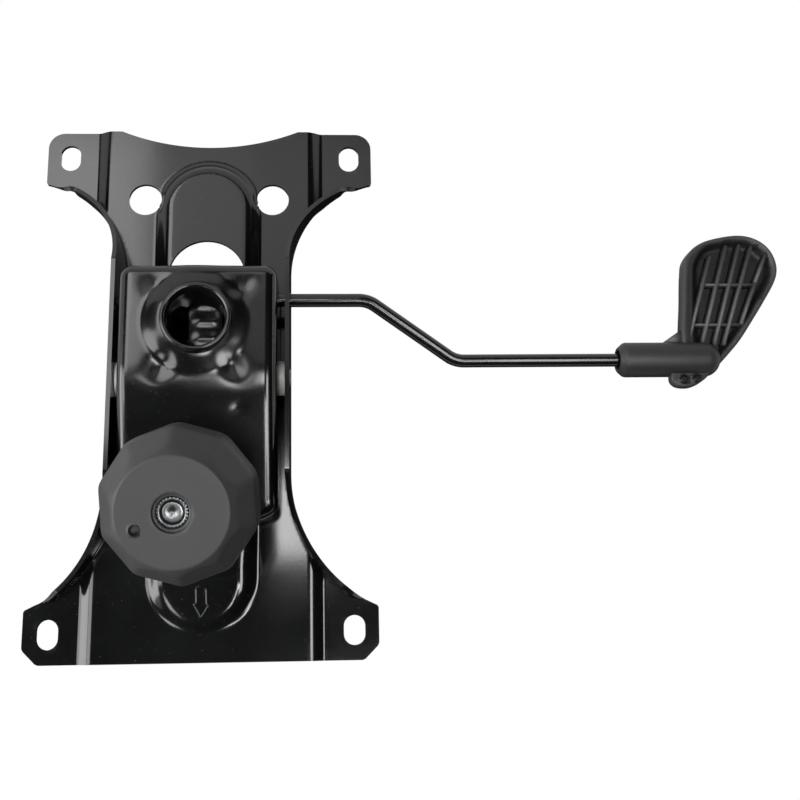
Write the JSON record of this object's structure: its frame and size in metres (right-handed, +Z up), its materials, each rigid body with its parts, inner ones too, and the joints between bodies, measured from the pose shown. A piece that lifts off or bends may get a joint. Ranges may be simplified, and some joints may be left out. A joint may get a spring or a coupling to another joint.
{
  "type": "office chair tilt mechanism",
  "caption": "Swivel-tilt base plate for an office chair: a pressed seat plate that rocks on a gas lift box against a knob-set spring, with a side lever for height and tilt lock.",
  "frame": {"origin": "centre of the gas lift socket at its mouth, the gauge plane of the gas lift's cone", "axes": "+X to the chair's front, +Y to the sitter's left, +Z up; the lever leaves towards -Y"},
  "size_m": [0.29, 0.4022, 0.1188],
  "materials": {
    "black_paint": "satin black stove enamel over pressed steel",
    "black_rod": "gloss black lacquered bar",
    "zinc_steel": "zinc-plated steel, lightly brushed",
    "dark_steel": "blackened steel",
    "spring_steel": "black lacquered spring wire",
    "knob_plastic": "satin moulded plastic with a fine grain",
    "paddle_plastic": "matte moulded plastic",
    "nylon": "natural nylon",
    "bumper_rubber": "matte rubber"
  },
  "bodies": {
    "lift_base": {"lift_box": "black_paint", "gas_lift_socket": "black_paint", "socket_bridge": "black_paint", "pivot_tube": "black_paint", "pivot_bushes": "nylon", "spring_seat": "dark_steel", "tension_spring": "spring_steel", "lever_tip_bush": "nylon", "lever_rod_bush": "nylon", "front_bumper": "bumper_rubber", "rear_bumper": "bumper_rubber"},
    "seat": {"seat_plate": "black_paint", "pivot_axle": "dark_steel"},
    "bolt": {"tension_bolt": "zinc_steel"},
    "washer": {"thrust_washer": "zinc_steel"},
    "knob": {"tension_knob": "knob_plastic", "knob_insert": "zinc_steel"},
    "clip": {"lever_clip": "dark_steel"},
    "lever": {"lever_rod": "black_rod", "release_thumb": "zinc_steel", "thumb_pin": "dark_steel", "lever_paddle": "paddle_plastic"}
  },
  "joints": [
    {"name": "seat_tilt", "type": "hinge", "parent": "lift_base", "child": "seat", "pos_m": [0.024, 0, 0.0295], "axis": [0, -1, 0], "range_deg": [0, 12], "stiffness_Nm_per_rad": 60, "springref_deg": -6.88, "deforming": ["tension_spring"]},
    {"name": "bolt_rock", "type": "hinge", "parent": "seat", "child": "bolt", "pos_m": [0.07365, 0, 0.04455], "axis": [0, -1, 0], "range_deg": [-11, 0]},
    {"name": "knob_feed", "type": "slide", "parent": "bolt", "child": "washer", "axis": [0.2773, 0, -0.9608], "range_m": [0, 0.00605], "deforming": ["tension_spring"]},
    {"name": "knob_turn", "type": "hinge", "parent": "washer", "child": "knob", "pos_m": [0.0808, 0, 0.01976], "axis": [0.2773, 0, -0.9608], "range_deg": [0, 1440], "deforming": ["tension_spring"]},
    {"name": "lever_push", "type": "slide", "parent": "lift_base", "child": "clip", "axis": [0, 1, 0], "range_m": [0, 0.006]},
    {"name": "lever_lift", "type": "hinge", "parent": "clip", "child": "lever", "pos_m": [-0.0174, 0, 0.0275], "axis": [0, 1, 0], "range_deg": [0, 12], "stiffness_Nm_per_rad": 0.5, "springref_deg": -8.59}
  ],
  "couplings": [
    {"joint": "bolt_rock", "follows": "seat_tilt", "ratio": -0.84},
    {"joint": "knob_feed", "follows": "knob_turn", "m_per_rad": 0.00023873}
  ]
}
